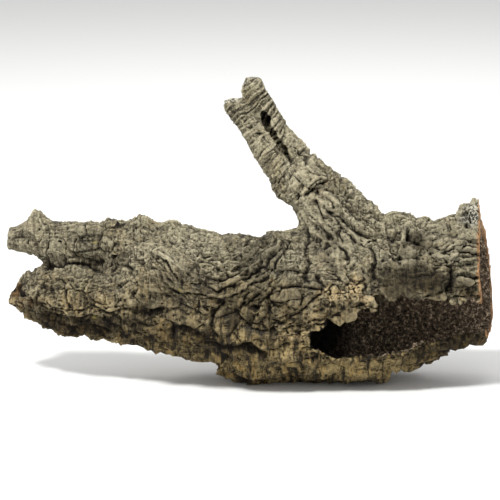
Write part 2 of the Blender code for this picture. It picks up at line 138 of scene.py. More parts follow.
# A ledge is a plate that overhangs below its line: its lift, the depth of the gap under it, the line.
LEDGES = [
    (5, 7, [(-148, 64), (-130, 60), (-112, 58)]), (4, 6, [(-101, 72), (-85, 73)]),
    (5, 8, [(-75, 58), (-62, 58), (-46, 51), (-38, 46)]),
    (6, 9, [(-42, 41), (-29, 40), (-15, 40), (2, 40), (10, 34), (20, 27)]),
    (5, 2, [(-69, 90), (-40, 86), (-26, 83), (-13, 88), (9, 102), (29, 122), (38, 140)]),
    (3, 2, [(-64, 101), (-30, 91), (1, 107), (13, 117), (26, 131)]),
    (4, 3, [(-96, 128), (-81, 119), (-74, 107), (-66, 97)]),
    (5, 5, [(150, 152), (158, 140), (166, 137)]), (3, 4, [(198, 139), (230, 138)]),
    (3, 4, [(180, 130), (230, 129)]), (4, 5, [(51, 180), (58, 188), (65, 194), (78, 196)]),
]
# Deep cracks, with painted shade in them: their depth, the line.
CRACKS = [
    (5, [(-110, 94), (-114, 86), (-110, 79), (-115, 70), (-110, 60)]), (6, [(-75, 57), (-76, 39)]),
    (7, [(-33, 76), (-36, 65), (-37, 53), (-29, 42)]),
    (7, [(114, 138), (120, 121), (117, 110), (123, 97)]), (8, [(196, 121), (193, 101), (188, 83)]),
    (5, [(54, 154), (58, 143), (54, 132), (57, 120), (52, 110), (55, 102), (60, 95)]),
    (5, [(72, 171), (89, 159), (103, 147), (120, 143), (149, 143)]),
    (6, [(14, 58), (22, 50), (28, 46)]),
]
# Folds stand out like drapery: their height, their width, the line.
FOLDS = [
    (2.6, 2.4, [(-96, 129), (-88, 125), (-75, 108), (-67, 92)]),
    (2.4, 2.2, [(-66, 90), (-48, 87), (-30, 84), (-15, 85), (-4, 94), (5, 98)]),
    (2.6, 2.4, [(-25, 96), (-9, 103), (8, 119), (23, 129), (31, 138)]),
    (2.0, 2.2, [(-19, 115), (-8, 118), (10, 121), (27, 130)]),
    (2.0, 2.2, [(-59, 118), (-48, 124), (-36, 133)]),
    (2.2, 2.4, [(-1, 95), (10, 92), (23, 84), (40, 80)]),
    (1.8, 2.0, [(-48, 112), (-30, 105), (-12, 108)]), (3.4, 2.2, [(68, 168), (92, 156), (109, 139)]),
    (3.4, 2.6, [(109, 165), (120, 156), (137, 148), (149, 147)]),
    (3.4, 2.4, [(60, 160), (78, 148), (96, 132), (104, 118)]),
    (3.0, 2.4, [(62, 150), (72, 138), (84, 122)]),
    (3.0, 2.4, [(60, 205), (72, 186), (88, 170), (112, 150)]),
    (2.6, 2.2, [(48, 222), (60, 202), (66, 184)]), (1.6, 1.6, [(188, 134), (229, 134)]),
    (1.6, 1.6, [(200, 144), (229, 144)]), (1.8, 2.0, [(30, 64), (76, 68)]),
]
# The folds between them hang like a drape, each a curve that rises to both sides of its middle.
DRAPE_LOW = 85.0
DRAPE_MIDDLE = -35.0
DRAPE_BEND = 0.011
DRAPE_SPACING = 5.6
DRAPE_HEIGHT = 4.6
WART_SIZE = 8.5
WART_HEIGHT = 4.2
# Fine relief: the size of what repeats, along the limb and twice across it, and how high it stands.
SWELL_SIZE, SWELL_HEIGHT, LAYER_HEIGHT = np.array([26, 9, 9]), 3.4, 2.0
CRUMPLE_SIZE, CRUMPLE_HEIGHT = np.array([12, 6.5, 6.5]), 2.0
SCALE_SIZE, SCALE_STEP, SCALE_LEAN, SCALE_CRACK = np.array([24, 12, 12]), 1.4, 5.0, 2.6
CHIP_SIZE, CHIP_STEP, CHIP_LEAN, CHIP_CRACK = np.array([6.5, 3.8, 3.8]), 1.3, 1.2, 0.8
GROWTH_SIZE, GROWTH_HEIGHT, LINED_HEIGHT = np.array([3.6, 20, 20]), 0.6, 1.5
GRIT_SIZE, GRIT_HEIGHT = 2.6, 0.75
PORE_SIZE, PORE_DEPTH, PORED_SHARE = 5.5, 1.4, 0.1
# Fine cracks with painted shade in them: their depth, their half width, the line.
FINE_CRACKS = [
    (3.5, 1.4, [(-208, 113), (-196, 115), (-183, 116), (-173, 118), (-164, 116), (-155, 114), (-147, 111)]),
    (4.0, 1.8, [(-131, 116), (-125, 115), (-112, 111)]), (3.0, 1.3, [(-219, 140), (-222, 133)]),
    (2.6, 1.1, [(-209, 142), (-212, 132)]), (3.0, 1.1, [(-198, 143), (-203, 128), (-200, 117)]),
    (3.0, 1.1, [(-170, 148), (-174, 134), (-173, 124), (-170, 117)]),
    (3.5, 1.4, [(-155, 109), (-162, 98)]),
    (3.5, 1.5, [(-161, 73), (-149, 71), (-137, 66), (-126, 61), (-114, 60)]),
    (4.0, 2.2, [(-147, 62), (-135, 58)]), (4.5, 1.8, [(-120, 58), (-112, 60)]),
    (3.0, 1.4, [(-194, 63), (-197, 51)]), (3.0, 1.4, [(-210, 68), (-193, 62)]),
    (2.5, 1.2, [(-48, 85), (-47, 77), (-48, 67)]), (3.0, 1.3, [(-5, 90), (-8, 70)]),
    (3.5, 1.5, [(14, 59), (22, 58), (27, 47)]), (2.6, 1.2, [(29, 47), (55, 48)]),
    (4.0, 1.8, [(143, 119), (146, 127)]), (3.0, 1.4, [(170, 131), (186, 132), (196, 135)]),
    (2.5, 1.2, [(186, 127), (189, 112)]), (2.6, 1.1, [(187, 130), (229, 131)]),
    (2.4, 1.1, [(200, 138), (229, 138)]), (3.5, 1.4, [(40, 236), (51, 223), (60, 209)]),
    (3.5, 1.3, [(51, 180), (59, 190), (71, 197), (81, 197)]), (3.0, 1.3, [(62, 180), (66, 170)]),
    (3.0, 1.4, [(71, 172), (85, 159), (95, 148)]), (4.5, 2.6, [(96, 185), (104, 181)]),
    (3.5, 1.5, [(2, 245), (11, 243)]),
]
# Holes with painted shade in them: their depth, their radius, their place.
HOLES = [
    (6.0, 1.6, (-212, 150)), (3.5, 1.4, (-195, 155)), (4.0, 1.5, (-189, 138)), (7.0, 3.2, (-133, 122)),
    (7.0, 3.0, (75, 133)), (4.0, 1.8, (36, 229)), (4.0, 2.0, (196, 135)),
]
MOUTH = [
    (57, 44), (58, 50), (68, 56), (79, 62), (93, 68), (108, 72), (120, 73), (123, 78), (119, 83),
    (114, 87), (128, 87), (142, 84), (162, 82), (186, 82), (200, 79), (228, 82), (290, 84), (290, 52),
    (233, 50), (198, 43), (170, 38), (150, 31), (120, 25), (87, 26), (70, 28), (62, 33), (57, 38),
]
MOUTH_DEPTH = (-150, -14)
SLIT = [(11, 267), (18, 261), (26, 245), (37, 227), (43, 213), (38, 214), (26, 229), (16, 245), (10, 257)]
SLIT_DEPTH = (-75, -30)
UNDERSIDE = [
    (136, -20), (136, 3), (139, 10), (150, 12), (165, 16), (179, 21), (190, 26), (199, 31), (215, 35),
    (231, 38), (238, 46), (243, 54), (270, 60), (270, -20),
]
UNDERSIDE_DEPTH = (-150, 150)
# How far the torn edges of each gap wander from its line, with a point every few millimetres.
MOUTH_TEAR = 2.4
SLIT_TEAR = 0.9
UNDERSIDE_TEAR = 2.4
TEAR_STEP = 3.0
# A break or a cut is a point on its plane, the way the plane faces, its size and its depth.
LOWER_BREAK = ((-232, 26, 90), (-0.75, -0.3, 0.5), 44, 24)
LEFT_TIP_BREAK = ((-22, 24, 278), (-0.1, 0, 1), 32, 20)
RIGHT_SAW = ((234, 0, 98), (1, -0.19, 0.11), 400, 90)
UPPER_SAW = ((-240, 34, 139), (-0.97, 0.2, 0.05), 60, 60)
FLOOR_CUT = ((0, 0, 0), (0, 0, -1), 800, 90)
BREAKS = [LOWER_BREAK, LEFT_TIP_BREAK]
CUTS = [RIGHT_SAW, UPPER_SAW, FLOOR_CUT]
BRANCH_CUT = ((56, 9, 189), (-0.46, 0.15, 0.89), 110, 150)
# The branch is parted from the trunk across the plane of BRANCH_CUT. The forks are parted from the
# trunk at FORK_X, and from each other at FORK_HEIGHT.
FORK_X = -127.0
FORK_HEIGHT = 116.5
FAR = 400.0

# Spots on the front, each a place, a half width, a half height and how strong it is.
SMOOTH_SPOTS = [
    (157, 99, 36, 15, 1.0), (88, 142, 30, 24, 0.55), (52, 200, 30, 36, 0.6), (-24, 56, 20, 18, 0.9),
]
WART_SPOTS = [
    (78, 88, 12, 6, 1.0), (102, 94, 8, 12, 1.0), (113, 82, 9, 4, 0.9), (40, 46, 15, 5, 0.6),
    (62, 62, 9, 5, 0.5),
]
YELLOW_SPOTS = [
    (-67, 90, 2.2, 2.2, 0.8), (-15, 142, 2.2, 1.3, 0.8), (-153, 138, 1.6, 2.2, 0.7),
    (-97, 157, 3, 1.2, 0.5), (-152, 63, 1.8, 1.4, 0.6),
]
RUST_SPOTS = [
    (-90, 158, 6, 2, 0.8), (62, 189, 12, 2.5, 0.5), (75, 195, 8, 2, 0.5), (-236, 90, 8, 9, 0.8),
    (-222, 78, 16, 4, 0.5),
]
CRUST_SPOTS = [(-22, 147, 14, 4, 1.0), (16, 146, 12, 4, 1.0), (216, 158, 12, 4, 0.6)]
ASH_SPOTS = [(219, 165, 13, 12, 1.0), (0, 300, 10, 5, 0.7), (-20, 277, 9, 4, 0.7)]
# Where shade is painted on the front, partly standing for the bark's own darker tone there.
SHADE_SPOTS = [
    (-158, 53, 90, 17, 1.0), (-88, 40, 50, 11, 0.6), (-218, 72, 28, 10, 0.8), (-158, 136, 18, 18, 0.6),
    (-66, 84, 56, 28, 0.6), (-75, 46, 56, 15, 0.7), (0, 74, 56, 30, 0.65), (8, 118, 28, 24, 0.6),
    (20, 47, 28, 11, 0.7), (48, 84, 20, 32, 0.55), (157, 99, 50, 21, 1.0), (160, 141, 13, 11, 0.9),
    (206, 92, 30, 13, 0.7), (194, 36, 66, 22, 1.0), (-126, 120, 12, 10, 0.7), (70, 132, 12, 13, 0.5),
    (-20, 32, 56, 6, 0.8), (95, 27, 50, 5, 0.4), (-108, 66, 17, 20, 0.8), (-200, 136, 66, 30, 0.2),
    (-170, 92, 66, 28, 0.25), (86, 73, 26, 8, 0.7), (60, 70, 20, 13, 0.4), (190, 122, 56, 28, 0.25),
    (72, 125, 40, 38, 0.15), (20, 16, 60, 12, 0.25),
]
# Where light is painted on, as pale highlights.
PAINTED_LIGHT_SPOTS = [
    (60, 172, 26, 40, 0.8), (85, 128, 26, 13, 0.8), (-100, 150, 56, 9, 0.4), (-62, 138, 44, 11, 0.45),
    (190, 136, 50, 16, 0.9), (-160, 104, 40, 9, 0.5), (24, 232, 34, 34, 0.8), (40, 40, 16, 8, 0.5),
    (10, 24, 60, 9, 0.4), (110, 16, 44, 10, 0.9), (-92, 76, 14, 22, 0.3), (-128, 84, 16, 18, 0.3),
]
# The hollow is darkest to the left of the first x, and open to the light past the second.
GLOOM = (82.0, 128.0)

# Colours as light sends them back, from 0 to 1.
PALE_BARK = (0.74, 0.66, 0.45)
LIGHT_BARK = (0.46, 0.4, 0.255)
MIDDLE_BARK = (0.215, 0.178, 0.102)
GREY_BARK = (0.22, 0.203, 0.155)
GREEN_BARK = (0.26, 0.262, 0.145)
STREAK = (0.8, 0.62, 0.32)
# What the bark's colour is multiplied by where it is warmer, and where shade is painted on it.
WARM_TINT = (0.97, 0.83, 0.56)
SHADE_TINT = (0.09, 0.074, 0.05)
DARK_BARK = (0.04, 0.031, 0.02)
# Painted shade for hollows, cracks, holes and the gaps under ledges.
GROOVE_SHADE = (0.014, 0.01, 0.006)
CRUST = (0.035, 0.034, 0.03)
ASH = (0.95, 0.9, 0.72)
OCHRE = (0.85, 0.66, 0.36)
OCHRE_DARK = (0.1, 0.06, 0.025)
LICHEN = (0.58, 0.48, 0.1)
RUST = (0.3, 0.18, 0.08)
WALL = (0.22, 0.158, 0.103)
WALL_SPECK = (1.0, 0.79, 0.55)
WALL_DEEP = (0.014, 0.01, 0.007)
SAWN = (0.85, 0.46, 0.2)
SAWN_DARK = (0.15, 0.075, 0.035)
FLOOR_COLOUR = (0.86, 0.86, 0.85)
SKY_COLOUR = (1.0, 1.0, 1.0)
# How far each node's grain is turned about each axis, so that it runs round its own limb.
GRAIN_TURN = {
    "trunk": (0.0, 0.0, 0.0),
    "upper_fork": (0.0, 0.0, 0.0),
    "lower_fork": (0.0, 0.0, 0.0),
    "upright_branch": (0.0, 1.0, 0.0),
}

# How high the finest bumps stand, in metres.
BUMP_HEIGHT = 0.0055
KEY_POWER = 74.0
FILL_POWER = 4.0
BACK_POWER = 24.0
SKY_STRENGTH = 0.62
FLOOR_REACH = 12.0
CAMERA_DISTANCE = 2200.0
SEEN_WIDTH = 500.0
AIM_HEIGHT = 129.5


def new_object(name, data):
    thing = bpy.data.objects.new(name, data)
    bpy.context.scene.collection.objects.link(thing)
    return thing


def finished(name, mesh):
    """The object of a mesh that was built up from its points."""
    data = bpy.data.meshes.new(name)
    mesh.to_mesh(data)
    mesh.free()
    return new_object(name, data)


def along(stations):
    """The stations joined by a smooth curve, with one row every RING_STEP."""
    rows = np.array(stations, float)
    ends = np.vstack([2 * rows[0] - rows[1], rows, 2 * rows[-1] - rows[-2]])
    found = []
    for i in range(1, len(ends) - 2):
        before, start, end, after = ends[i - 1 : i + 3]
        count = max(1, round(np.linalg.norm((end - start)[:3]) / RING_STEP))
        for step in range(count):
            t = step / count
            found.append(
                0.5
                * (
                    2 * start
                    + (end - before) * t
                    + (2 * before - 5 * start + 4 * end - after) * t**2
                    + (3 * start - before - 3 * end + after) * t**3
                )
            )
    found.append(rows[-1])
    return np.array(found)


def frames(rows):
    """Unit vectors at each row: along the limb, across it (away from the viewer), and up."""
    ahead = np.gradient(rows[:, :3], axis=0)
    ahead /= np.linalg.norm(ahead, axis=1)[:, None]
    across = np.array([0.0, 1.0, 0.0]) - ahead * ahead[:, 1:2]
    across /= np.linalg.norm(across, axis=1)[:, None]
    return ahead, across, np.cross(ahead, across)


def loft(mesh, stations, shrink=0.0):
    """Adds a closed tube through elliptical rings, drawn in by shrink but no further than halfway."""
    rows = along(stations)
    _, across, up = frames(rows)
    rings = []
    for row, side, top in zip(rows, across, up):
        ring = []
        for k in range(RING_SIDES):
            angle = 2 * math.pi * k / RING_SIDES
            place = (
                row[:3]
                - side * max(row[3] - shrink, row[3] / 2) * math.cos(angle)
                + top * max(row[4] - shrink, row[4] / 2) * math.sin(angle)
            )
            ring.append(mesh.verts.new(place * MM))
        rings.append(ring)
    for one, two in zip(rings, rings[1:]):
        for k in range(RING_SIDES):
            n = (k + 1) % RING_SIDES
            mesh.faces.new((one[k], one[n], two[n], two[k]))
    mesh.faces.new(rings[0][::-1])
    mesh.faces.new(rings[-1])


def mixed(cells_x, cells_y, cells_z, seed):
    """One repeatable number from 0 to 1 for each whole-number cell."""
    value = cells_x ^ cells_y ^ cells_z ^ np.uint32(seed * 0x9E3779B1 % 2**32)
    for shift, factor in ((15, 0x2C1B3C6D), (12, 0x297A2D39)):
        value ^= value >> np.uint32(shift)
        value *= np.uint32(factor)
    value ^= value >> np.uint32(15)
    return value.astype(np.float32) * np.float32(2.0**-32)


def cell_terms(points, reach):
    """The cell of each point, and each axis's share of the mixed number for the cells around it."""
    cell = np.floor(points)
    whole = cell.astype(np.int64)
    factors = (0x8DA6B343, 0xD8163841, 0xCB1AB31F)
    terms = [
        {step: (whole[:, axis] + step).astype(np.uint32) * np.uint32(factors[axis]) for step in reach}
        for axis in range(3)
    ]
    return cell, terms


def soft_noise(points, seed):
    """Smooth noise from -1 to 1, with lumps about one unit across."""
    cell, terms = cell_terms(points, (0, 1))
    inside = (points - cell).astype(np.float32)
    fade = inside**3 * (inside * (inside * 6 - 15) + 10)
    shares = [(1 - fade[:, axis], fade[:, axis]) for axis in range(3)]
    total = np.zeros(len(points), np.float32)
    for i in (0, 1):
        for j in (0, 1):
            for k in (0, 1):
                weight = shares[0][i] * shares[1][j] * shares[2][k]
                total += weight * mixed(terms[0][i], terms[1][j], terms[2][k], seed)
    return 2 * total - 1


def rough_noise(points, seed, octaves, falling=0.5):
    """Noise with finer and finer lumps laid over each other."""
    total, size = 0.0, 1.0
    for octave in range(octaves):
        total = total + size * soft_noise(points * 2.03**octave + 7.7 * octave, seed + octave)
        size *= falling
    return total


def ridged(points, seed, octaves=1):
    """Noise from 0 to 1 with sharp crests."""
    total, size, whole = 0.0, 1.0, 0.0
    for octave in range(octaves):
        lumps = soft_noise(points * 2.03**octave + 3.1 * octave, seed + octave)
        total = total + size * (1 - 2 * np.abs(lumps))
        whole += size
        size *= 0.5
    return np.clip(total / whole, 0, 1)


def plates(points, seed):
    """How far each point is inside its plate, 0 on a crack, a number from 0 to 1 for the plate, and how
    high the point is on the plate, which leans to one side."""
    cell, terms = cell_terms(points, (-1, 0, 1))
    inside = (points - cell).astype(np.float32)
    nearest = np.full(len(points), 9.0, np.float32)
    second = nearest.copy()
    mark, lean = np.zeros((2, len(points)), np.float32)
    for number in range(27):
        step = (number % 3 - 1, number // 3 % 3 - 1, number // 9 - 1)
        around = [terms[axis][step[axis]] for axis in range(3)]
        seats = [mixed(*around, seed + axis) for axis in range(3)]
        aside = [inside[:, axis] - step[axis] - 0.15 - 0.7 * seats[axis] for axis in range(3)]
        distance = np.sqrt(aside[0] ** 2 + aside[1] ** 2 + aside[2] ** 2)
        closer = distance < nearest
        second = np.where(closer, nearest, np.minimum(second, distance))
        mark = np.where(closer, seats[0], mark)
        lean = np.where(closer, sum((2 * seats[axis] - 1) * aside[axis] for axis in range(3)), lean)
        nearest = np.where(closer, distance, nearest)
    return second - nearest, mark, lean


def ease(value, low, high):
    """0 below low, 1 above high, and a smooth slope between them."""
    share = np.clip((value - low) / (high - low), 0, 1)
    return share * share * (3 - 2 * share)


def warped(points, size, reach, seed):
    """The points moved about by soft noise, so that what is drawn over them bends."""
    bend = np.stack([soft_noise(points / size, seed + 20 + axis) for axis in range(3)], axis=1)
    return points + reach * bend


def limb_place(points, stations):
    """Each point's place in the bark unrolled round a limb, its height over that bark, and how thick
    the limb is there."""
    rows = along(stations)
    ahead, across, up = frames(rows)
    steps = np.linalg.norm(np.diff(rows[:, :3], axis=0), axis=1)
    length = np.concatenate([[0], np.cumsum(steps)])
    away = np.full(len(points), 1e9)
    index = np.zeros(len(points), int)
    for k, row in enumerate(rows):
        distance = ((points - row[:3]) ** 2).sum(axis=1)
        index = np.where(distance < away, k, index)
        away = np.minimum(away, distance)
    offset = points - rows[index, :3]
    front = -(offset * across[index]).sum(axis=1) / rows[index, 3]
    top = (offset * up[index]).sum(axis=1) / rows[index, 4]
    share = np.maximum(np.hypot(front, top), 1e-6)
    middle = (rows[index, 3] + rows[index, 4]) / 2
    run = length[index] + (offset * ahead[index]).sum(axis=1)
    spot = np.stack([run, middle * front / share, middle * top / share], axis=1)
    over = (share - 1) * middle
    past_end = np.maximum(-run, run - length[-1])
    return spot, np.where(past_end > 0, np.hypot(np.maximum(over, 0), past_end), over), middle


def seen_from_front(points):
    """Each point's place across and up a plane square to the line of sight."""
    tilt = math.radians(VIEW_TILT)
    return points[:, 0], points[:, 1] * math.sin(tilt) + points[:, 2] * math.cos(tilt)


def line_distance(across, up, line):
    """Distance from a bent line on that plane, positive above a line drawn left to right."""
    best = np.full(len(across), 1e9)
    side = np.ones(len(across))
    for (x0, z0), (x1, z1) in zip(line, line[1:]):
        run, rise = x1 - x0, z1 - z0
        share = np.clip(((across - x0) * run + (up - z0) * rise) / (run * run + rise * rise), 0, 1)
        distance = np.hypot(across - x0 - share * run, up - z0 - share * rise)
        above = np.sign(run * (up - z0) - rise * (across - x0))
        side = np.where(distance < best, above, side)
        best = np.minimum(best, distance)
    return best * side


def line_fade(across, up, line):
    """0 at both ends of a bent line, and 1 along its middle."""
    (x0, z0), (x1, z1) = line[0], line[-1]
    nearest = np.minimum(np.hypot(across - x0, up - z0), np.hypot(across - x1, up - z1))
    return ease(nearest, 0, min(FADE, 0.35 * math.hypot(x1 - x0, z1 - z0)))


def stroke(across, up, line, width, lower=0.0):
    """1 on a bent line, or so far below it, falling off over its half width and towards its ends."""
    distance = line_distance(across, up, line) + lower
    return np.exp(-((distance / width) ** 2)) * line_fade(across, up, line)


def drawn_places(points, size, reach, seed):
    """Each point's place as the viewer sees it, moved about so that what is drawn there wanders."""
    across, up = seen_from_front(points)
    moves = [reach * rough_noise(points / size, seed + step, 3, 0.6) for step in (0, 4)]
    return across + moves[0], up + moves[1]


def front_relief(points, facing):
    """The ledges and cracks that stand out on the front, in millimetres."""
    across, up = drawn_places(points, 14, 1.8, 41)
    height = np.zeros(len(points))
    for lift, drop, line in LEDGES:
        distance = line_distance(across, up, line)
        above = lift * np.exp(-np.maximum(distance, 0) / LEDGE_REACH)
        below = -drop * np.exp(-((distance / CRACK_WIDTH) ** 2))
        lip = np.where(distance > 0, above, below) * np.exp(-((distance / (3 * LEDGE_REACH)) ** 2))
        height += lip * line_fade(across, up, line)
    for drop, line in CRACKS:
        height -= drop * stroke(across, up, line, CRACK_WIDTH)
    return height * ease(-facing[:, 1], 0.0, 0.35)


def draped(across, up):
    """Where the bark hangs in folds, between the left lumps and the branch's root."""
    return ease(across, -115, -75) * ease(-across, -52, -22) * ease(up, 74, 92)


def fine_front(points, facing):
    """Folds, fine cracks, holes and warts on the front, and the shade painted into the cracks, the holes
    and the gaps under ledges.
    """
    across, up = drawn_places(points, 11, 2.0, 61)
    height, dark = np.zeros(len(points)), np.zeros(len(points))
    for lift, width, line in FOLDS:
        distance = line_distance(across, up, line)
        fold = np.exp(-((distance / width) ** 2)) - 0.5 * np.exp(-(((distance + 2 * width) / width) ** 2))
        height += lift * fold * line_fade(across, up, line)
    level = (up - DRAPE_LOW - DRAPE_BEND * (across - DRAPE_MIDDLE) ** 2) / DRAPE_SPACING
    drape = ridged(np.stack([level, across / 50, np.zeros(len(level))], axis=1), 73, 3)
    height += draped(across, up) * DRAPE_HEIGHT * (drape - 0.5)
    for drop, width, line in FINE_CRACKS:
        share = stroke(across, up, line, width)
        height -= drop * share
        dark = np.maximum(dark, share)
    for _, drop, line in LEDGES:
        width = GAP_WIDTH * (0.6 + drop / 10)
        gap = stroke(across, up, line, width, 0.6 * width)
        height -= 0.4 * drop * gap
        dark = np.maximum(dark, gap * min(1, max(0, drop - 4) / 3))
    for drop, radius, (x, z) in HOLES:
        share = np.exp(-((np.hypot(across - x, up - z) / radius) ** 4))
        height -= drop * share
        dark = np.maximum(dark, share)
    knob, size = plates(warped(points, 9, 3.5, 77) / WART_SIZE, 77)[:2]
    height += blobs(across, up, WART_SPOTS) * WART_HEIGHT * (0.4 + size) * (ease(knob, 0.0, 0.5) - 0.3)
    front = ease(-facing[:, 1], 0.0, 0.35)
    return height * front, dark * front


def broad_bark(spot, seed, smooth):
    """Bark height on one unrolled limb: long plates at different heights, with some cracks between."""
    bent = warped(spot, BEND_SIZE, PLATE_BEND, seed)
    edge, mark = plates(bent / PLATE_SIZE, seed)[:2]
    lumps = rough_noise(spot / LUMP_SIZE, seed + 5, 2)
    crown = ease(edge, 0.0, 0.4)
    split = ease(rough_noise(spot / 30, seed + 2, 2), -0.25, 0.35) * (1 - smooth)
    crack = (1 - ease(edge, 0.0, 0.14)) * (0.25 + 0.75 * split)
    height = LUMP_HEIGHT * lumps + PLATE_STEP * (mark - 0.5) + PLATE_CROWN * crown - PLATE_CRACK * crack
    return height, crack * split


def layered(height, points, seed, thickness):
    """Cork splits in thin layers, so a slope becomes a flight of small ledges."""
    drift = 0.8 * soft_noise(points / 8, seed)
    level = height / thickness + drift
    step = np.floor(level)
    return (step + ease(level - step, 0.45, 0.95) - drift) * thickness


def fine_bark(spot, seed, smooth, rings):
    """Split layers, crumpled ridges, leaning plates, chips, growth lines and grit, the shade painted in
    the cracks, and how pale each plate is."""
    rough = 1 - smooth
    bent = warped(spot, 17, 6.0, seed + 1)
    swell = rough * SWELL_HEIGHT * rough_noise(bent / SWELL_SIZE, seed + 7, 3, 0.55)
    height = 0.85 * layered(swell, spot, seed + 11, LAYER_HEIGHT) + 0.15 * swell
    crumple = ridged(bent / CRUMPLE_SIZE, seed + 9, 3)
    height += rough * CRUMPLE_HEIGHT * (crumple - 0.5)
    edge, tone, lean = plates(bent / SCALE_SIZE, seed + 23)
    split = ease(rough_noise(spot / 17, seed + 4, 2), -0.15, 0.3)
    crack = (1 - ease(edge, 0.02, 0.1)) * split
    height += rough * (SCALE_STEP * (tone - 0.5) + SCALE_LEAN * lean - SCALE_CRACK * crack)
    patch = ease(rough_noise(spot / 14, seed + 6, 2), -0.25, 0.3)
    chip, level, slant = plates(warped(spot, 4, 2.0, seed + 13) / CHIP_SIZE, seed + 13)
    small = patch * (1 - ease(chip, 0.0, 0.14))
    height += rough * (patch * (CHIP_STEP * (level - 0.5) + CHIP_LEAN * slant) - CHIP_CRACK * small)
    wave = ridged(warped(spot, 12, 1.8, seed + 15) / GROWTH_SIZE, seed + 15, 2)
    height += (GROWTH_HEIGHT + LINED_HEIGHT * np.maximum(rings, 0.7 * (1 - patch))) * (wave - 0.5)
    gritty = GRIT_HEIGHT * rough * (0.5 + patch) + 0.2
    height += gritty * rough_noise(spot / GRIT_SIZE, seed + 17, 2, 0.8)
    pore, chosen = plates(spot / PORE_SIZE, seed + 19)[:2]
    height -= PORE_DEPTH * rough * ease(pore, 0.25, 0.6) * (chosen > 1 - PORED_SHARE)
    return height, rough * np.maximum(crack, 0.4 * small), tone


def ringed(points):
    """Where growth lines run round the limb: on the lower front, the smooth fork and the tips."""
    across, up = seen_from_front(points)
    low = ease(-up, -78, -48) * ease(across, -110, -60)
    fork = ease(-across, 160, 185) * ease(up, 112, 120)
    tips = ease(up, 200, 225)
    return np.clip(low + fork + 0.8 * tips, 0, 1)


def smoothness(points, facing):
    """Where the bark is smooth: on the end of the upper fork, on the folds, low on the front, and on
    one plate over the mouth, smoothed by wear."""
    across, up = seen_from_front(points)
    fork = 0.75 * ease(-across, 165, 190) * ease(up, 112, 122)
    folds = 0.45 * draped(across, up)
    low = 0.45 * ease(-up, -66, -40) * ease(across, -80, 0)
    plate = 0.7 * blobs(across, up, SMOOTH_SPOTS) * ease(-facing[:, 1], 0.0, 0.3)
    return np.maximum.reduce([fork, folds, low, plate])


def relief(points, facing):
    """How far the bark stands out at each point, and what its surface is like there."""
    count = len(points)
    broad, fine, dark, cracks, tones = np.zeros((5, count))
    weights = np.full(count, 1e-9)
    smooth, rings = smoothness(points, facing), ringed(points)
    for seed, stations in enumerate(LIMBS):
        spot, over, middle = limb_place(points, stations)
        weight = np.exp(-((over / np.where(over > 0, LUMP_REACH, SKIN_REACH)) ** 2))
        near = np.nonzero(weight > 1e-3)[0]
        girth = min(1.0, max(row[4] for row in stations) / FULL_GIRTH)
        height, crack = broad_bark(spot[near], 40 * seed, smooth[near])
        broad[near] += weight[near] * girth * height
        cracks[near] += weight[near] * crack
        height, deep, tone = fine_bark(spot[near], 40 * seed + 500, smooth[near], rings[near])
        fine[near] += weight[near] * np.minimum(1, middle[near] / FULL_GIRTH + 0.2) * height
        dark[near] += weight[near] * deep
        tones[near] += weight[near] * tone
        weights += weight
    outside = np.minimum(weights * 1.6, 1)
    pits = rough_noise(points / PIT_SIZE, 3, 2)
    height = np.maximum(outside * (broad / weights + front_relief(points, facing)), -DEEPEST)
    height += PIT_HEIGHT * pits
    drawn, drawn_dark = fine_front(points, facing)
    inner = rough_noise(points / 6, 71, 4, 0.7) * (0.3 + 0.9 * ease(points[:, 0], 30, 70))
    height += outside * (fine / weights + drawn) + (1 - outside) * 2.0 * inner
    # The crack mark is shade painted into cracks, holes and the gaps under ledges.
    deep = outside * np.maximum(np.maximum(dark, 0.6 * cracks) / weights, drawn_dark)
    return height, {"crack": deep, "outside": outside, "tone": tones / weights}


def changed(thing, kind, **settings):
    """Gives the object a modifier with its settings, and keeps what it makes."""
    modifier = thing.modifiers.new(kind, kind)
    for name, value in settings.items():
        setattr(modifier, name, value)
    bpy.context.view_layer.update()
    graph = bpy.context.evaluated_depsgraph_get()
    mesh, old = bpy.data.meshes.new_from_object(thing.evaluated_get(graph)), thing.data
    thing.modifiers.clear()
    thing.data = mesh
    bpy.data.meshes.remove(old)


def remesh(thing, voxel):
    changed(thing, "REMESH", mode="VOXEL", voxel_size=voxel * MM)


def soften(thing, rounds):
    changed(thing, "SMOOTH", factor=0.5, iterations=rounds)


def combine(thing, other, operation="DIFFERENCE", solver="MANIFOLD"):
    changed(thing, "BOOLEAN", operation=operation, solver=solver, object=other)
    bpy.data.objects.remove(other, do_unlink=True)


def lofted(name, limbs):
    """One object from several tubes, each a list of stations and how far it is drawn in."""
    mesh = bmesh.new()
    for stations, shrink in limbs:
        loft(mesh, stations, shrink)
    bmesh.ops.recalc_face_normals(mesh, faces=mesh.faces)
    thing = finished(name, mesh)
    remesh(thing, BLEND_VOXEL)
    return thing


def torn(outline, reach, seed):
    """The outline with points between, moved about as a torn edge is."""
    found = []
    for (x0, z0), (x1, z1) in zip(outline, outline[1:] + outline[:1]):
        count = max(1, round(math.hypot(x1 - x0, z1 - z0) / TEAR_STEP))
        for step in range(count):
            found.append((x0 + (x1 - x0) * step / count, z0 + (z1 - z0) * step / count))
    places = np.array([(x / 7, z / 7, seed) for x, z in found])
    moves = np.stack([rough_noise(places, seed, 3, 0.6), rough_noise(places, seed + 9, 3, 0.6)], axis=1)
    return [tuple(np.array(place) + reach * move) for place, move in zip(found, moves)]


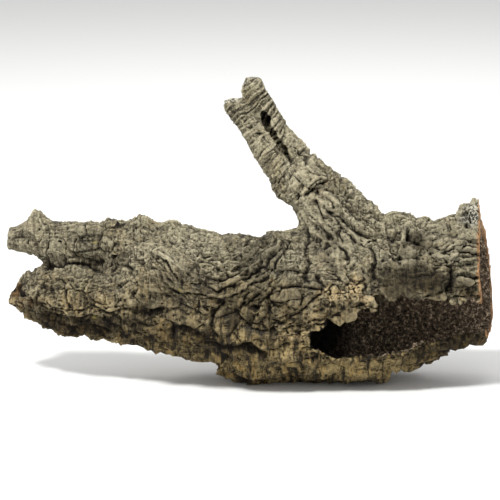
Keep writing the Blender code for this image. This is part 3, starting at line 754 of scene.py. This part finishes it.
def front_cutter(name, outline, depth):
    """A closed solid behind an outline that the viewer sees, from the first depth to the second."""
    tilt = math.radians(VIEW_TILT)
    up = np.array([0, math.sin(tilt), math.cos(tilt)])
    away = np.array([0, math.cos(tilt), -math.sin(tilt)])
    mesh = bmesh.new()
    near, far = (
        [mesh.verts.new((up * height + away * reach + (x, 0, 0)) * MM) for x, height in outline]
        for reach in depth
    )
    for k in range(len(outline)):
        n = (k + 1) % len(outline)
        mesh.faces.new((near[k], near[n], far[n], far[k]))
    ends = [mesh.faces.new(near[::-1]), mesh.faces.new(far)]
    bmesh.ops.triangulate(mesh, faces=ends)
    bmesh.ops.recalc_face_normals(mesh, faces=mesh.faces)
    return finished(name, mesh)


def slab(place, normal, size, depth):
    """A block that stands on a plane and fills the side that the plane faces."""
    mesh = bmesh.new()
    bmesh.ops.create_cube(mesh, size=1.0)
    turn = Vector(normal).to_track_quat("Z", "Y")
    for vertex in mesh.verts:
        corner = Vector((vertex.co.x * size, vertex.co.y * size, (vertex.co.z + 0.5) * depth))
        vertex.co = (turn @ corner + Vector(place)) * MM
    return finished("block", mesh)


def box(low, high):
    """A block between two corners."""
    low, high = np.array(low, float), np.array(high, float)
    mesh = bmesh.new()
    bmesh.ops.create_cube(mesh, size=1.0)
    for vertex in mesh.verts:
        vertex.co = ((np.array(vertex.co) + 0.5) * (high - low) + low) * MM
    return finished("block", mesh)


def values_of(items, name, width, kind=np.float32):
    """What each item has under that name, one row for each."""
    values = np.empty(len(items) * width, kind)
    items.foreach_get(name, values)
    return values.reshape(-1, width)


def places_of(mesh):
    return values_of(mesh.vertices, "co", 3).astype(float) / MM


def facings_of(mesh):
    return values_of(mesh.vertex_normals, "vector", 3).astype(float)


def edges_of(mesh):
    return values_of(mesh.edges, "vertices", 2, np.int32)


def set_places(mesh, places):
    mesh.vertices.foreach_set("co", (places * MM).astype(np.float32).ravel())
    mesh.update()


def bare_skin():
    """The smooth hollow form with its torn mouth, in an even fine mesh."""
    skin = lofted("skin", [(stations, 0.0) for stations in FORMS])
    soften(skin, CROTCH_ROUNDS)
    forks = [(LOWER_FORK, FORK_WALL), (UPPER_FORK, FORK_WALL)]
    hollows = [(TRUNK[1:], TRUNK_WALL), *forks, (BRANCH, BRANCH_WALL)]
    combine(skin, lofted("bores", hollows), solver="EXACT")
    remesh(skin, BLEND_VOXEL)
    for broken in BREAKS:
        combine(skin, slab(*broken))
    combine(skin, front_cutter("mouth", torn(MOUTH, MOUTH_TEAR, 5), MOUTH_DEPTH))
    combine(skin, front_cutter("slit", torn(SLIT, SLIT_TEAR, 8), SLIT_DEPTH))
    combine(skin, front_cutter("underside", torn(UNDERSIDE, UNDERSIDE_TEAR, 11), UNDERSIDE_DEPTH))
    remesh(skin, FINE_VOXEL)
    soften(skin, 4)
    return skin


def grown_skin():
    """The skin with its bark, the places of its points, and the surface's marks."""
    skin = bare_skin()
    mesh = skin.data
    places, facing = places_of(mesh), facings_of(mesh)
    height, marks = relief(places, facing)
    places += facing * height[:, None]
    set_places(mesh, places)
    facing = facings_of(mesh)
    marks["cavity"] = hollowness(mesh, places, facing, FINE_ROUNDS)
    marks["valley"] = hollowness(mesh, places, facing, BROAD_ROUNDS)
    return skin, places, marks


def share_out(skin):
    """The skin parted at its forks, one closed mesh for each node."""
    regions = {
        "upper_fork": box((-FAR, -FAR, FORK_HEIGHT), (FORK_X, FAR, FAR)),
        "lower_fork": box((-FAR, -FAR, -FAR), (FORK_X, FAR, FORK_HEIGHT)),
        "upright_branch": slab(*BRANCH_CUT),
    }
    pieces = {}
    for name, region in regions.items():
        piece = new_object(name + "_bark", skin.data.copy())
        cutter = new_object("cutter", region.data.copy())
        combine(piece, region, "INTERSECT")
        combine(skin, cutter)
        pieces[name] = piece
    skin.name = "trunk_bark"
    pieces["trunk"] = skin
    return pieces


def without_crumbs(piece):
    """Leaves only the largest connected part of a piece."""
    mesh = piece.data
    count = len(mesh.vertices)
    edges = edges_of(mesh)
    label = np.arange(count)
    while True:
        low = np.minimum(label[edges[:, 0]], label[edges[:, 1]])
        new = label.copy()
        np.minimum.at(new, edges[:, 0], low)
        np.minimum.at(new, edges[:, 1], low)
        new = new[new]
        if (new == label).all():
            break
        label = new
    names, sizes = np.unique(label, return_counts=True)
    loose = label != names[sizes.argmax()]
    if loose.any():
        work = bmesh.new()
        work.from_mesh(mesh)
        work.verts.ensure_lookup_table()
        bmesh.ops.delete(work, geom=[work.verts[i] for i in np.nonzero(loose)[0]], context="VERTS")
        work.to_mesh(mesh)
        work.free()


def thin_out(piece):
    """Fewer triangles, mostly where the bark faces back or down, to stay under the most for a piece."""
    mesh = piece.data
    mesh.calc_loop_triangles()
    triangles = len(mesh.loop_triangles)
    if triangles > MOST_TRIANGLES:
        facing = facings_of(mesh)
        group = piece.vertex_groups.new(name="hidden")
        hidden = np.maximum(facing[:, 1], -facing[:, 2] - 0.2) > 0.1
        group.add(np.nonzero(hidden)[0].tolist(), 1.0, "REPLACE")
        group.add(np.nonzero(~hidden)[0].tolist(), SEEN_SHARE, "REPLACE")
        settings = {"ratio": MOST_TRIANGLES / triangles, "vertex_group": group.name}
        changed(piece, "DECIMATE", **settings, vertex_group_factor=1.0, use_collapse_triangulate=True)
        piece.vertex_groups.clear()


def hollowness(mesh, places, facing, rounds):
    """How deep each point lies in its surroundings, in millimetres, over so many rounds of averaging."""
    one, two = edges_of(mesh).T
    count = len(places)
    friends = np.maximum(np.bincount(one, minlength=count) + np.bincount(two, minlength=count), 1)
    level = places.copy()
    for _ in range(rounds):
        total = [
            np.bincount(one, level[two, axis], count) + np.bincount(two, level[one, axis], count)
            for axis in range(3)
        ]
        level = np.stack(total, axis=1) / friends[:, None]
    return ((level - places) * facing).sum(axis=1)


def blobs(across, up, spots):
    """How much of a soft round spot there is at each point, at most the spot's strength."""
    found = np.zeros(len(across))
    for x, z, width, height, strength in spots:
        share = np.exp(-((((across - x) / width) ** 2 + ((up - z) / height) ** 2) ** 2))
        found = np.maximum(found, strength * share)
    return found


def shadowed(across, up):
    """How dark it is in each deep crack, and just below each ledge that overhangs."""
    found = np.zeros(len(across))
    for _, drop, line in LEDGES:
        width = GAP_WIDTH * drop / 5
        share = stroke(across, up, line, width, width)
        found = np.maximum(found, share * np.clip((drop - 2) / 4, 0, 1))
    for drop, line in CRACKS:
        found = np.maximum(found, stroke(across, up, line, CRACK_WIDTH / 2) * drop / 9)
    return found


def painted(places, facing):
    """Masks for the colours that belong to one place of the bark, and for painted light and shade."""
    across, up = drawn_places(places, 6, 3.0, 81)
    front = ease(-facing[:, 1], -0.1, 0.25)
    patch = rough_noise(places / 22, 91, 3, 0.6)
    back = 1 - ease(-facing[:, 1], -0.5, 0.0)
    # Painted shade on low bark that faces down, partly its own darker tone.
    under = 0.5 * ease(-facing[:, 2], -0.1, 0.6) * (1 - ease(up, 30, 80))
    spread = drawn_places(places, 16, 7.0, 31)
    # Patches of painted shade on the back.
    hidden = 0.5 * back * ease(patch, -0.1, 0.1)
    mossy = rough_noise(places / 34, 95, 3, 0.6)
    # Tops that face up, where dark crust lies in patches.
    wear_and_highlights = ease(facing[:, 2], 0.5, 0.9) * ease(patch, 0.1, 0.5)
    saw = np.array(RIGHT_SAW[1]) / np.linalg.norm(RIGHT_SAW[1])
    return {
        "warm": np.clip(1 - ease(up + 30 * patch, 20, 130) + 0.2 * patch, 0, 1),
        # Painted light on the listed spots.
        "light": blobs(*spread, PAINTED_LIGHT_SPOTS),
        # Painted shade on the listed spots, partly the bark's own darker tone, on low undersides and the
        # back.
        "shade": np.maximum.reduce([blobs(*spread, SHADE_SPOTS) * (1 - back), under, hidden]),
        # Painted shadow in deep cracks and just below overhanging ledges.
        "gap": front * shadowed(across, up),
        "ochre": front * blobs(across, up, WART_SPOTS),
        "yellow": front * blobs(across, up, YELLOW_SPOTS),
        "rust": front * blobs(across, up, RUST_SPOTS),
        "ash": blobs(across, up, ASH_SPOTS),
        "crust": np.maximum(wear_and_highlights, blobs(across, up, CRUST_SPOTS)),
        "green": ease(mossy + 0.5 * facing[:, 2] + places[:, 0] / 600, 0.05, 0.6),
        "gloom": 1 - ease(places[:, 0] + 12 * patch, *GLOOM),
        "sawn": 1 - ease(np.abs((places - np.array(RIGHT_SAW[0])) @ saw), 0.2, 1.2),
    }


def marked(piece, tree, marks):
    """Writes the surface's marks on the piece's own points."""
    mesh = piece.data
    count = len(mesh.vertices)
    places, facing = places_of(mesh), facings_of(mesh)
    index = np.fromiter((tree.find(place)[1] for place in places), int, count)
    values = {name: value[index] for name, value in marks.items()}
    values.update(painted(places, facing))
    for name, value in values.items():
        attribute = mesh.attributes.new(name, "FLOAT", "POINT")
        attribute.data.foreach_set("value", value.astype(np.float32))


def add(tree, kind, inputs=(), **settings):
    """One shader node with its settings, and its inputs set or linked."""
    made = tree.nodes.new(kind)
    for name, value in settings.items():
        setattr(made, name, value)
    for name, value in dict(inputs).items():
        if isinstance(value, bpy.types.NodeSocket):
            tree.links.new(value, made.inputs[name])
        else:
            made.inputs[name].default_value = value
    return made


def mask(tree, name):
    """What the surface is marked with under that name."""
    return add(tree, "ShaderNodeAttribute", attribute_name=name).outputs["Fac"]


def noise(tree, place, size, detail=3.0, rough=0.6, distortion=0.0):
    """Noise with lumps of that size in millimetres."""
    inputs = {"Vector": place, "Scale": 1000 / size, "Detail": detail, "Roughness": rough}
    inputs["Distortion"] = distortion
    return add(tree, "ShaderNodeTexNoise", inputs).outputs["Fac"]


def between(tree, value, low, high, to_low=0.0, to_high=1.0):
    """The value brought from one range to another, and kept inside it."""
    inputs = {"Value": value, "From Min": low, "From Max": high, "To Min": to_low, "To Max": to_high}
    return add(tree, "ShaderNodeMapRange", inputs).outputs["Result"]


def maths(tree, operation, one, two):
    made = add(tree, "ShaderNodeMath", operation=operation)
    for socket, value in zip(made.inputs, (one, two)):
        if isinstance(value, bpy.types.NodeSocket):
            tree.links.new(value, socket)
        else:
            socket.default_value = value
    return made.outputs[0]


def over(tree, below, colour, share, blend="MIX"):
    """A colour laid over another, or multiplied with it, where share is 1."""
    made = add(tree, "ShaderNodeMix", data_type="RGBA", blend_type=blend)
    for number, value in ((0, share), (6, below), (7, colour)):
        if isinstance(value, bpy.types.NodeSocket):
            tree.links.new(value, made.inputs[number])
        else:
            made.inputs[number].default_value = (*value, 1) if isinstance(value, tuple) else value
    return made.outputs[2]


def stretched(tree, place, turn, stretch):
    """Places drawn out along turned axes, so that noise over them has a grain."""
    inputs = {"Vector": place, "Rotation": turn, "Scale": stretch}
    return add(tree, "ShaderNodeMapping", inputs, vector_type="TEXTURE").outputs["Vector"]


def both(tree, one, two):
    """High only where both values are high."""
    return maths(tree, "MULTIPLY", one, two)


def laid(tree, colour, layers):
    """Paints laid over a colour, each as strong as its share where its value reaches the last number."""
    for paint, value, low, high, share in layers:
        colour = over(tree, colour, paint, between(tree, value, low, high, 0, share))
    return colour


def grain_noises(tree, turn):
    """The noises that colour and bumps are made from, some of them drawn out with the grain."""
    place = add(tree, "ShaderNodeTexCoord").outputs["Object"]
    round_limb = stretched(tree, place, turn, (1.0, 4.0, 4.0))
    return {
        "broad": noise(tree, place, 38, 3),
        "patches": noise(tree, place, 13, 4, 0.65),
        "flecks": noise(tree, place, 4.2, 4, 0.7),
        "grains": noise(tree, place, 2.2, 3, 0.75),
        "clods": noise(tree, place, 3.4, 4, 0.75),
        "fibres": noise(tree, stretched(tree, place, turn, (1.0, 5.0, 5.0)), 2.3, 3, 0.7),
        "bands": noise(tree, round_limb, 5.0, 3, 0.65),
        "clefts": noise(tree, round_limb, 8.0, 4, 0.65, 0.4),
        "splits": noise(tree, stretched(tree, place, turn, (4.0, 1.0, 1.0)), 2.6, 4, 0.7, 0.7),
    }


def bark_colour(tree, grain, spotty):
    """Pale plates between dark cracks, with crust, lichen and ochre lumps. Wear and painted highlights
    pale the crests, and painted shade darkens hollows, cracks and the gaps under ledges.
    """
    flecks, patches, bands = grain["flecks"], grain["patches"], grain["bands"]
    warm, cavity, valley = mask(tree, "warm"), mask(tree, "cavity"), mask(tree, "valley")
    colour = over(tree, MIDDLE_BARK, LIGHT_BARK, between(tree, patches, 0.36, 0.62))
    colour = over(tree, colour, GREY_BARK, between(tree, grain["broad"], 0.48, 0.66, 0, 0.6))
    green = both(tree, mask(tree, "green"), between(tree, flecks, 0.35, 0.6, 0, 0.55))
    colour = over(tree, colour, GREEN_BARK, green)
    dark_layers = [
        (DARK_BARK, flecks, 0.52, 0.38, 0.65),
        (DARK_BARK, bands, 0.5, 0.38, 0.5),
        (DARK_BARK, grain["fibres"], 0.5, 0.38, 0.75),
        (DARK_BARK, grain["splits"], 0.48, 0.38, 0.8),
        (DARK_BARK, grain["grains"], 0.44, 0.33, 0.5),
    ]
    colour = laid(tree, colour, dark_layers)
    colour = over(tree, colour, DARK_BARK, both(tree, between(tree, bands, 0.54, 0.44, 0, 0.7), warm))
    colour = over(tree, colour, STREAK, both(tree, between(tree, bands, 0.52, 0.59, 0, 0.8), warm))
    pale_layers = [
        (PALE_BARK, grain["grains"], 0.54, 0.64, 0.5),
        (PALE_BARK, grain["splits"], 0.53, 0.62, 0.65),
        (PALE_BARK, grain["fibres"], 0.54, 0.64, 0.45),
        (DARK_BARK, mask(tree, "tone"), 0.4, 0.05, 0.5),
        (PALE_BARK, mask(tree, "tone"), 0.62, 0.95, 0.3),
    ]
    colour = laid(tree, colour, pale_layers)
    # Paler crests, from wear and painted highlights, and painted light on the listed spots.
    wear_and_highlights = [
        (between(tree, cavity, -0.15, -0.9, 0, 0.85), between(tree, flecks, 0.38, 0.56)),
        (between(tree, valley, -0.7, -2.6, 0, 0.45), between(tree, patches, 0.36, 0.56)),
        (mask(tree, "light"), between(tree, flecks, 0.42, 0.56, 0.1, 0.75)),
    ]
    for where, spots in wear_and_highlights:
        colour = over(tree, colour, PALE_BARK, both(tree, where, spots))
    colour = over(tree, colour, WARM_TINT, warm, "MULTIPLY")
    gaps = between(tree, grain["clefts"], 0.49, 0.41, 0, 0.95)
    colour = over(tree, colour, DARK_BARK, both(tree, gaps, warm))
    shade = both(tree, mask(tree, "shade"), between(tree, patches, 0.34, 0.62, 1.0, 0.86))
    colour = over(tree, colour, SHADE_TINT, shade, "MULTIPLY")
    crust = both(tree, mask(tree, "crust"), between(tree, flecks, 0.42, 0.5, 0, 0.8))
    colour = over(tree, colour, CRUST, crust)
    colour = over(tree, colour, over(tree, OCHRE_DARK, OCHRE, spotty), mask(tree, "ochre"))
    ashes = over(tree, CRUST, ASH, between(tree, grain["clods"], 0.48, 0.52))
    colour = over(tree, colour, ashes, mask(tree, "ash"))
    colour = over(tree, colour, LICHEN, mask(tree, "yellow"))
    colour = over(tree, colour, RUST, both(tree, mask(tree, "rust"), spotty))
    # Painted shade in fine and broad hollows, in cracks and holes, and below overhanging ledges.
    painted_shade = [
        (GROOVE_SHADE, cavity, 0.2, 0.95, 0.9),
        (GROOVE_SHADE, valley, 0.5, 2.6, 0.85),
        (GROOVE_SHADE, mask(tree, "crack"), 0.4, 1.0, 0.85),
        (GROOVE_SHADE, mask(tree, "gap"), 0.15, 0.85, 0.9),
    ]
    return laid(tree, colour, painted_shade)


def wall_colour(tree, grain, spotty):
    """The granular inside, black where little light comes."""
    wall = over(tree, WALL, WALL_SPECK, between(tree, grain["clods"], 0.52, 0.58))
    wall = over(tree, wall, WALL_DEEP, between(tree, grain["grains"], 0.5, 0.42, 0, 0.9))
    wall = over(tree, wall, WALL_DEEP, mask(tree, "gloom"))
    return over(tree, wall, RUST, both(tree, mask(tree, "rust"), spotty))


def bark_material(name, turn):
    """Cork bark outside, its granular wall inside, and fresh cork where it was sawn."""
    material = bpy.data.materials.new(name)
    material.use_nodes = True
    tree = material.node_tree
    shader = tree.nodes["Principled BSDF"]
    grain = grain_noises(tree, turn)
    flecks, outside = grain["flecks"], mask(tree, "outside")
    spotty = between(tree, flecks, 0.4, 0.52)
    wall, bark = wall_colour(tree, grain, spotty), bark_colour(tree, grain, spotty)
    colour = over(tree, wall, bark, between(tree, outside, 0.35, 0.75))
    bright = both(tree, spotty, between(tree, outside, 0.1, 0.8, 0.5, 1.0))
    colour = over(tree, colour, over(tree, SAWN_DARK, SAWN, bright), mask(tree, "sawn"))
    tree.links.new(colour, shader.inputs["Base Color"])
    tree.links.new(between(tree, flecks, 0.3, 0.7, 0.8, 1.0), shader.inputs["Roughness"])
    shader.inputs["Specular IOR Level"].default_value = 0.25
    shader.inputs["Metallic"].default_value = 0.0
    height = flecks
    for kind, share in (("fibres", 0.8), ("splits", 0.9), ("grains", 0.4)):
        height = maths(tree, "ADD", height, maths(tree, "MULTIPLY", grain[kind], share))
    bump = add(tree, "ShaderNodeBump", {"Height": height, "Strength": 1.0, "Distance": BUMP_HEIGHT})
    tree.links.new(bump.outputs["Normal"], shader.inputs["Normal"])
    return material


def floor_piece():
    """A wide pale floor for the branch to lie on."""
    mesh = bmesh.new()
    bmesh.ops.create_grid(mesh, x_segments=1, y_segments=1, size=FLOOR_REACH)
    floor = finished("floor", mesh)
    material = bpy.data.materials.new("pale_floor")
    material.use_nodes = True
    shader = material.node_tree.nodes["Principled BSDF"]
    shader.inputs["Base Color"].default_value = (*FLOOR_COLOUR, 1)
    shader.inputs["Roughness"].default_value = 0.9
    floor.data.materials.append(material)


def lamp(name, place, target, size, power):
    light = bpy.data.lights.new(name, "AREA")
    light.shape = "SQUARE"
    light.size = size
    light.energy = power
    thing = new_object(name, light)
    thing.location = place
    thing.rotation_euler = (Vector(target) - Vector(place)).to_track_quat("-Z", "Y").to_euler()


def studio():
    """Soft light from above the viewer's left, weaker ones from the right and behind, a pale sky."""
    scene = bpy.context.scene
    middle = (0.0, 0.0, 0.1)
    lamp("key", (-0.8, -1.1, 2.3), middle, 0.5, KEY_POWER)
    lamp("fill", (1.7, -1.4, 0.8), middle, 1.6, FILL_POWER)
    lamp("back", (0.3, 1.6, 2.2), (0.0, 1.0, 0.0), 1.6, BACK_POWER)
    world = bpy.data.worlds.new("pale_sky")
    world.use_nodes = True
    background = world.node_tree.nodes["Background"]
    background.inputs["Color"].default_value = (*SKY_COLOUR, 1)
    background.inputs["Strength"].default_value = SKY_STRENGTH
    scene.world = world
    scene.view_settings.view_transform = "Standard"


def camera():
    """Looks down on the branch as the photo does, from far enough to keep its lines nearly parallel."""
    tilt = math.radians(VIEW_TILT)
    aim = Vector((0, AIM_HEIGHT * math.sin(tilt), AIM_HEIGHT * math.cos(tilt))) + Vector(SHIFT)
    view = bpy.data.cameras.new("camera")
    view.lens = view.sensor_width * CAMERA_DISTANCE / SEEN_WIDTH
    thing = new_object("camera", view)
    thing.location = (aim + Vector((0, -math.cos(tilt), math.sin(tilt))) * CAMERA_DISTANCE) * MM
    thing.rotation_euler = (math.radians(90 - VIEW_TILT), 0, 0)
    bpy.context.scene.camera = thing


def inside_box(piece):
    """Moves the piece to the frame's place, and presses what stands out of the frame's box back in."""
    mesh = piece.data
    low, high = (np.array(corner, float) / MM for corner in CAD_BOX)
    set_places(mesh, np.clip(places_of(mesh) + SHIFT, low, high))


def bark_pieces():
    """One dressed piece for each node."""
    skin, places, marks = grown_skin()
    tree = KDTree(len(places))
    for number, place in enumerate(places):
        tree.insert(place, number)
    tree.balance()
    for sawn in CUTS:
        combine(skin, slab(*sawn))
    pieces = share_out(skin)
    for name, piece in pieces.items():
        without_crumbs(piece)
        thin_out(piece)
        marked(piece, tree, marks)
        inside_box(piece)
        piece.data.materials.clear()
        piece.data.materials.append(bark_material(name + "_bark", GRAIN_TURN[name]))
        for polygon in piece.data.polygons:
            polygon.use_smooth = True
        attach(piece, "root")
        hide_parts(name)


def main():
    studio()
    camera()
    floor_piece()
    bark_pieces()


main()
